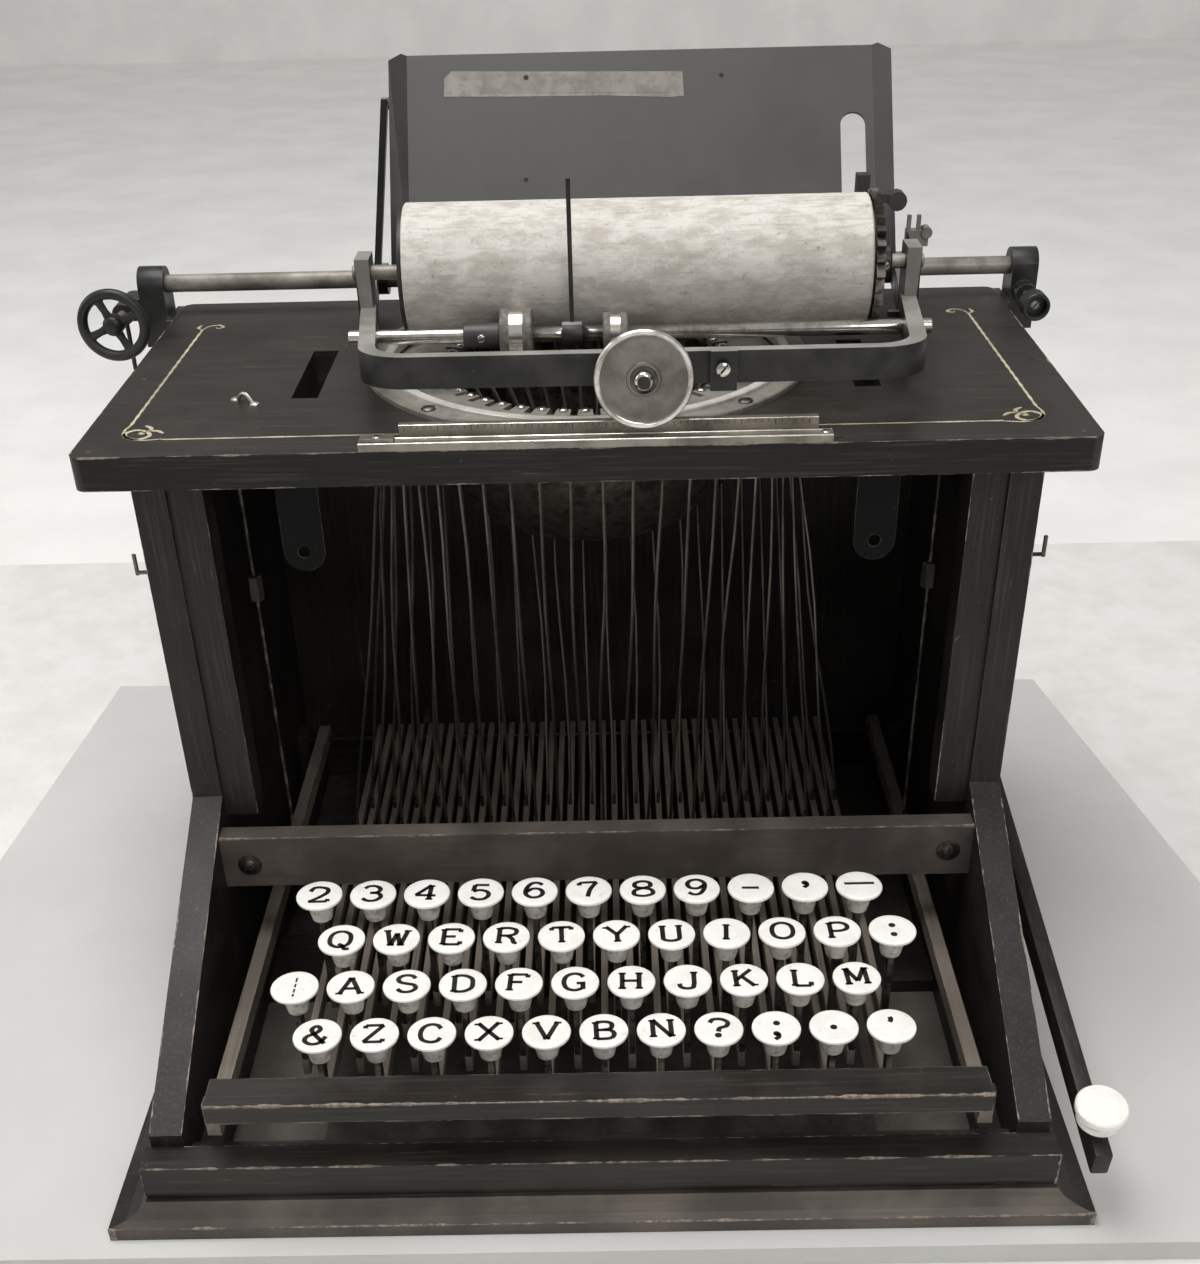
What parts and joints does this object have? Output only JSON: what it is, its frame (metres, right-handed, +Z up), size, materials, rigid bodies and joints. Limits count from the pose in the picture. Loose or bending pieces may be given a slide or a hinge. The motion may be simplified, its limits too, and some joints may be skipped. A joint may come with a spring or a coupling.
{
  "type": "keyboard typewriter",
  "caption": "Understroke typewriter in a wooden case, with porcelain keys, a round type basket and a carriage on a rear rod.",
  "frame": {"origin": "on the underside of the board across the base, on the machine's centre line", "axes": "+X to the typist's right, +Y to the back, +Z up"},
  "size_m": [0.4437, 0.3551, 0.3785],
  "materials": {
    "dark_wood": "black japanned wood, worn at the edges",
    "steel": "bare steel, dulled",
    "iron": "black japanned iron",
    "platen": "worn pale covering",
    "key": "white porcelain disc on a wooden lever"
  },
  "bodies": {
    "frame": {"base_frame": "dark_wood", "case_sides": "dark_wood", "top_board": "dark_wood", "type_basket": "steel", "type_bars": "steel", "top_fittings": "iron"},
    "lift": {"carriage_rod": "steel"},
    "carriage": {"carriage_yoke": "iron", "paper_table": "iron"},
    "platen": {"platen": "platen"},
    "feed_shaft": {"feed_shaft": "steel"},
    "guide_wheel": {"guide_wheel": "steel"},
    "hand_wheel": {"hand_wheel": "iron"},
    "ribbon_knob": {"ribbon_knob": "iron"},
    "space_bar": {"space_bar": "dark_wood"},
    "return_lever": {"return_lever": "dark_wood"},
    "key_01": {"key_01": "key"},
    "key_02": {"key_02": "key"},
    "key_03": {"key_03": "key"},
    "key_04": {"key_04": "key"},
    "key_05": {"key_05": "key"},
    "key_06": {"key_06": "key"},
    "key_07": {"key_07": "key"},
    "key_08": {"key_08": "key"},
    "key_09": {"key_09": "key"},
    "key_10": {"key_10": "key"},
    "key_11": {"key_11": "key"},
    "key_12": {"key_12": "key"},
    "key_13": {"key_13": "key"},
    "key_14": {"key_14": "key"},
    "key_15": {"key_15": "key"},
    "key_16": {"key_16": "key"},
    "key_17": {"key_17": "key"},
    "key_18": {"key_18": "key"},
    "key_19": {"key_19": "key"},
    "key_20": {"key_20": "key"},
    "key_21": {"key_21": "key"},
    "key_22": {"key_22": "key"},
    "key_23": {"key_23": "key"},
    "key_24": {"key_24": "key"},
    "key_25": {"key_25": "key"},
    "key_26": {"key_26": "key"},
    "key_27": {"key_27": "key"},
    "key_28": {"key_28": "key"},
    "key_29": {"key_29": "key"},
    "key_30": {"key_30": "key"},
    "key_31": {"key_31": "key"},
    "key_32": {"key_32": "key"},
    "key_33": {"key_33": "key"},
    "key_34": {"key_34": "key"},
    "key_35": {"key_35": "key"},
    "key_36": {"key_36": "key"},
    "key_37": {"key_37": "key"},
    "key_38": {"key_38": "key"},
    "key_39": {"key_39": "key"},
    "key_40": {"key_40": "key"},
    "key_41": {"key_41": "key"},
    "key_42": {"key_42": "key"},
    "key_43": {"key_43": "key"},
    "key_44": {"key_44": "key"}
  },
  "joints": [
    {"name": "carriage_lift", "type": "hinge", "parent": "frame", "child": "lift", "pos_m": [0, 0.156, 0.283], "axis": [-1, 0, 0], "range_deg": [0, 60]},
    {"name": "carriage_slide", "type": "slide", "parent": "lift", "child": "carriage", "axis": [1, 0, 0], "range_m": [-0.089, 0.045]},
    {"name": "platen_turn", "type": "hinge", "parent": "carriage", "child": "platen", "pos_m": [0.0223, 0.075, 0.307], "axis": [1, 0, 0], "continuous": true},
    {"name": "feed_shaft_turn", "type": "hinge", "parent": "carriage", "child": "feed_shaft", "pos_m": [0.0223, 0.041, 0.29], "axis": [1, 0, 0], "continuous": true},
    {"name": "guide_wheel_turn", "type": "hinge", "parent": "carriage", "child": "guide_wheel", "pos_m": [0.0223, -0.026, 0.2928], "axis": [0, 1, 0], "continuous": true},
    {"name": "hand_wheel_turn", "type": "hinge", "parent": "frame", "child": "hand_wheel", "pos_m": [-0.217, 0.125, 0.273], "axis": [0, 1, 0], "continuous": true},
    {"name": "ribbon_knob_turn", "type": "hinge", "parent": "frame", "child": "ribbon_knob", "pos_m": [0.204, 0.125, 0.273], "axis": [0, 1, 0], "continuous": true},
    {"name": "space_bar_press", "type": "hinge", "parent": "frame", "child": "space_bar", "pos_m": [0, 0.14, 0.04], "axis": [1, 0, 0], "range_deg": [0, 1.6], "stiffness_Nm_per_rad": 1.2, "springref_deg": -8.59},
    {"name": "return_lever_swing", "type": "hinge", "parent": "frame", "child": "return_lever", "pos_m": [0.1915, 0.07, 0.071], "axis": [-1, 0, 0], "range_deg": [0, 25]},
    {"name": "key_01_press", "type": "hinge", "parent": "frame", "child": "key_01", "pos_m": [0, 0.14, 0.04], "axis": [1, 0, 0], "range_deg": [0, 2.2], "stiffness_Nm_per_rad": 0.35, "springref_deg": -8.59},
    {"name": "key_02_press", "type": "hinge", "parent": "frame", "child": "key_02", "pos_m": [0, 0.14, 0.04], "axis": [1, 0, 0], "range_deg": [0, 2.2], "stiffness_Nm_per_rad": 0.35, "springref_deg": -8.59},
    {"name": "key_03_press", "type": "hinge", "parent": "frame", "child": "key_03", "pos_m": [0, 0.14, 0.04], "axis": [1, 0, 0], "range_deg": [0, 2.2], "stiffness_Nm_per_rad": 0.35, "springref_deg": -8.59},
    {"name": "key_04_press", "type": "hinge", "parent": "frame", "child": "key_04", "pos_m": [0, 0.14, 0.04], "axis": [1, 0, 0], "range_deg": [0, 2.2], "stiffness_Nm_per_rad": 0.35, "springref_deg": -8.59},
    {"name": "key_05_press", "type": "hinge", "parent": "frame", "child": "key_05", "pos_m": [0, 0.14, 0.04], "axis": [1, 0, 0], "range_deg": [0, 2.2], "stiffness_Nm_per_rad": 0.35, "springref_deg": -8.59},
    {"name": "key_06_press", "type": "hinge", "parent": "frame", "child": "key_06", "pos_m": [0, 0.14, 0.04], "axis": [1, 0, 0], "range_deg": [0, 2.2], "stiffness_Nm_per_rad": 0.35, "springref_deg": -8.59},
    {"name": "key_07_press", "type": "hinge", "parent": "frame", "child": "key_07", "pos_m": [0, 0.14, 0.04], "axis": [1, 0, 0], "range_deg": [0, 2.2], "stiffness_Nm_per_rad": 0.35, "springref_deg": -8.59},
    {"name": "key_08_press", "type": "hinge", "parent": "frame", "child": "key_08", "pos_m": [0, 0.14, 0.04], "axis": [1, 0, 0], "range_deg": [0, 2.2], "stiffness_Nm_per_rad": 0.35, "springref_deg": -8.59},
    {"name": "key_09_press", "type": "hinge", "parent": "frame", "child": "key_09", "pos_m": [0, 0.14, 0.04], "axis": [1, 0, 0], "range_deg": [0, 2.2], "stiffness_Nm_per_rad": 0.35, "springref_deg": -8.59},
    {"name": "key_10_press", "type": "hinge", "parent": "frame", "child": "key_10", "pos_m": [0, 0.14, 0.04], "axis": [1, 0, 0], "range_deg": [0, 2.2], "stiffness_Nm_per_rad": 0.35, "springref_deg": -8.59},
    {"name": "key_11_press", "type": "hinge", "parent": "frame", "child": "key_11", "pos_m": [0, 0.14, 0.04], "axis": [1, 0, 0], "range_deg": [0, 2.2], "stiffness_Nm_per_rad": 0.35, "springref_deg": -8.59},
    {"name": "key_12_press", "type": "hinge", "parent": "frame", "child": "key_12", "pos_m": [0, 0.14, 0.04], "axis": [1, 0, 0], "range_deg": [0, 2.2], "stiffness_Nm_per_rad": 0.35, "springref_deg": -8.59},
    {"name": "key_13_press", "type": "hinge", "parent": "frame", "child": "key_13", "pos_m": [0, 0.14, 0.04], "axis": [1, 0, 0], "range_deg": [0, 2.2], "stiffness_Nm_per_rad": 0.35, "springref_deg": -8.59},
    {"name": "key_14_press", "type": "hinge", "parent": "frame", "child": "key_14", "pos_m": [0, 0.14, 0.04], "axis": [1, 0, 0], "range_deg": [0, 2.2], "stiffness_Nm_per_rad": 0.35, "springref_deg": -8.59},
    {"name": "key_15_press", "type": "hinge", "parent": "frame", "child": "key_15", "pos_m": [0, 0.14, 0.04], "axis": [1, 0, 0], "range_deg": [0, 2.2], "stiffness_Nm_per_rad": 0.35, "springref_deg": -8.59},
    {"name": "key_16_press", "type": "hinge", "parent": "frame", "child": "key_16", "pos_m": [0, 0.14, 0.04], "axis": [1, 0, 0], "range_deg": [0, 2.2], "stiffness_Nm_per_rad": 0.35, "springref_deg": -8.59},
    {"name": "key_17_press", "type": "hinge", "parent": "frame", "child": "key_17", "pos_m": [0, 0.14, 0.04], "axis": [1, 0, 0], "range_deg": [0, 2.2], "stiffness_Nm_per_rad": 0.35, "springref_deg": -8.59},
    {"name": "key_18_press", "type": "hinge", "parent": "frame", "child": "key_18", "pos_m": [0, 0.14, 0.04], "axis": [1, 0, 0], "range_deg": [0, 2.2], "stiffness_Nm_per_rad": 0.35, "springref_deg": -8.59},
    {"name": "key_19_press", "type": "hinge", "parent": "frame", "child": "key_19", "pos_m": [0, 0.14, 0.04], "axis": [1, 0, 0], "range_deg": [0, 2.2], "stiffness_Nm_per_rad": 0.35, "springref_deg": -8.59},
    {"name": "key_20_press", "type": "hinge", "parent": "frame", "child": "key_20", "pos_m": [0, 0.14, 0.04], "axis": [1, 0, 0], "range_deg": [0, 2.2], "stiffness_Nm_per_rad": 0.35, "springref_deg": -8.59},
    {"name": "key_21_press", "type": "hinge", "parent": "frame", "child": "key_21", "pos_m": [0, 0.14, 0.04], "axis": [1, 0, 0], "range_deg": [0, 2.2], "stiffness_Nm_per_rad": 0.35, "springref_deg": -8.59},
    {"name": "key_22_press", "type": "hinge", "parent": "frame", "child": "key_22", "pos_m": [0, 0.14, 0.04], "axis": [1, 0, 0], "range_deg": [0, 2.2], "stiffness_Nm_per_rad": 0.35, "springref_deg": -8.59},
    {"name": "key_23_press", "type": "hinge", "parent": "frame", "child": "key_23", "pos_m": [0, 0.14, 0.04], "axis": [1, 0, 0], "range_deg": [0, 2.2], "stiffness_Nm_per_rad": 0.35, "springref_deg": -8.59},
    {"name": "key_24_press", "type": "hinge", "parent": "frame", "child": "key_24", "pos_m": [0, 0.14, 0.04], "axis": [1, 0, 0], "range_deg": [0, 2.2], "stiffness_Nm_per_rad": 0.35, "springref_deg": -8.59},
    {"name": "key_25_press", "type": "hinge", "parent": "frame", "child": "key_25", "pos_m": [0, 0.14, 0.04], "axis": [1, 0, 0], "range_deg": [0, 2.2], "stiffness_Nm_per_rad": 0.35, "springref_deg": -8.59},
    {"name": "key_26_press", "type": "hinge", "parent": "frame", "child": "key_26", "pos_m": [0, 0.14, 0.04], "axis": [1, 0, 0], "range_deg": [0, 2.2], "stiffness_Nm_per_rad": 0.35, "springref_deg": -8.59},
    {"name": "key_27_press", "type": "hinge", "parent": "frame", "child": "key_27", "pos_m": [0, 0.14, 0.04], "axis": [1, 0, 0], "range_deg": [0, 2.2], "stiffness_Nm_per_rad": 0.35, "springref_deg": -8.59},
    {"name": "key_28_press", "type": "hinge", "parent": "frame", "child": "key_28", "pos_m": [0, 0.14, 0.04], "axis": [1, 0, 0], "range_deg": [0, 2.2], "stiffness_Nm_per_rad": 0.35, "springref_deg": -8.59},
    {"name": "key_29_press", "type": "hinge", "parent": "frame", "child": "key_29", "pos_m": [0, 0.14, 0.04], "axis": [1, 0, 0], "range_deg": [0, 2.2], "stiffness_Nm_per_rad": 0.35, "springref_deg": -8.59},
    {"name": "key_30_press", "type": "hinge", "parent": "frame", "child": "key_30", "pos_m": [0, 0.14, 0.04], "axis": [1, 0, 0], "range_deg": [0, 2.2], "stiffness_Nm_per_rad": 0.35, "springref_deg": -8.59},
    {"name": "key_31_press", "type": "hinge", "parent": "frame", "child": "key_31", "pos_m": [0, 0.14, 0.04], "axis": [1, 0, 0], "range_deg": [0, 2.2], "stiffness_Nm_per_rad": 0.35, "springref_deg": -8.59},
    {"name": "key_32_press", "type": "hinge", "parent": "frame", "child": "key_32", "pos_m": [0, 0.14, 0.04], "axis": [1, 0, 0], "range_deg": [0, 2.2], "stiffness_Nm_per_rad": 0.35, "springref_deg": -8.59},
    {"name": "key_33_press", "type": "hinge", "parent": "frame", "child": "key_33", "pos_m": [0, 0.14, 0.04], "axis": [1, 0, 0], "range_deg": [0, 2.2], "stiffness_Nm_per_rad": 0.35, "springref_deg": -8.59},
    {"name": "key_34_press", "type": "hinge", "parent": "frame", "child": "key_34", "pos_m": [0, 0.14, 0.04], "axis": [1, 0, 0], "range_deg": [0, 2.2], "stiffness_Nm_per_rad": 0.35, "springref_deg": -8.59},
    {"name": "key_35_press", "type": "hinge", "parent": "frame", "child": "key_35", "pos_m": [0, 0.14, 0.04], "axis": [1, 0, 0], "range_deg": [0, 2.2], "stiffness_Nm_per_rad": 0.35, "springref_deg": -8.59},
    {"name": "key_36_press", "type": "hinge", "parent": "frame", "child": "key_36", "pos_m": [0, 0.14, 0.04], "axis": [1, 0, 0], "range_deg": [0, 2.2], "stiffness_Nm_per_rad": 0.35, "springref_deg": -8.59},
    {"name": "key_37_press", "type": "hinge", "parent": "frame", "child": "key_37", "pos_m": [0, 0.14, 0.04], "axis": [1, 0, 0], "range_deg": [0, 2.2], "stiffness_Nm_per_rad": 0.35, "springref_deg": -8.59},
    {"name": "key_38_press", "type": "hinge", "parent": "frame", "child": "key_38", "pos_m": [0, 0.14, 0.04], "axis": [1, 0, 0], "range_deg": [0, 2.2], "stiffness_Nm_per_rad": 0.35, "springref_deg": -8.59},
    {"name": "key_39_press", "type": "hinge", "parent": "frame", "child": "key_39", "pos_m": [0, 0.14, 0.04], "axis": [1, 0, 0], "range_deg": [0, 2.2], "stiffness_Nm_per_rad": 0.35, "springref_deg": -8.59},
    {"name": "key_40_press", "type": "hinge", "parent": "frame", "child": "key_40", "pos_m": [0, 0.14, 0.04], "axis": [1, 0, 0], "range_deg": [0, 2.2], "stiffness_Nm_per_rad": 0.35, "springref_deg": -8.59},
    {"name": "key_41_press", "type": "hinge", "parent": "frame", "child": "key_41", "pos_m": [0, 0.14, 0.04], "axis": [1, 0, 0], "range_deg": [0, 2.2], "stiffness_Nm_per_rad": 0.35, "springref_deg": -8.59},
    {"name": "key_42_press", "type": "hinge", "parent": "frame", "child": "key_42", "pos_m": [0, 0.14, 0.04], "axis": [1, 0, 0], "range_deg": [0, 2.2], "stiffness_Nm_per_rad": 0.35, "springref_deg": -8.59},
    {"name": "key_43_press", "type": "hinge", "parent": "frame", "child": "key_43", "pos_m": [0, 0.14, 0.04], "axis": [1, 0, 0], "range_deg": [0, 2.2], "stiffness_Nm_per_rad": 0.35, "springref_deg": -8.59},
    {"name": "key_44_press", "type": "hinge", "parent": "frame", "child": "key_44", "pos_m": [0, 0.14, 0.04], "axis": [1, 0, 0], "range_deg": [0, 2.2], "stiffness_Nm_per_rad": 0.35, "springref_deg": -8.59}
  ]
}
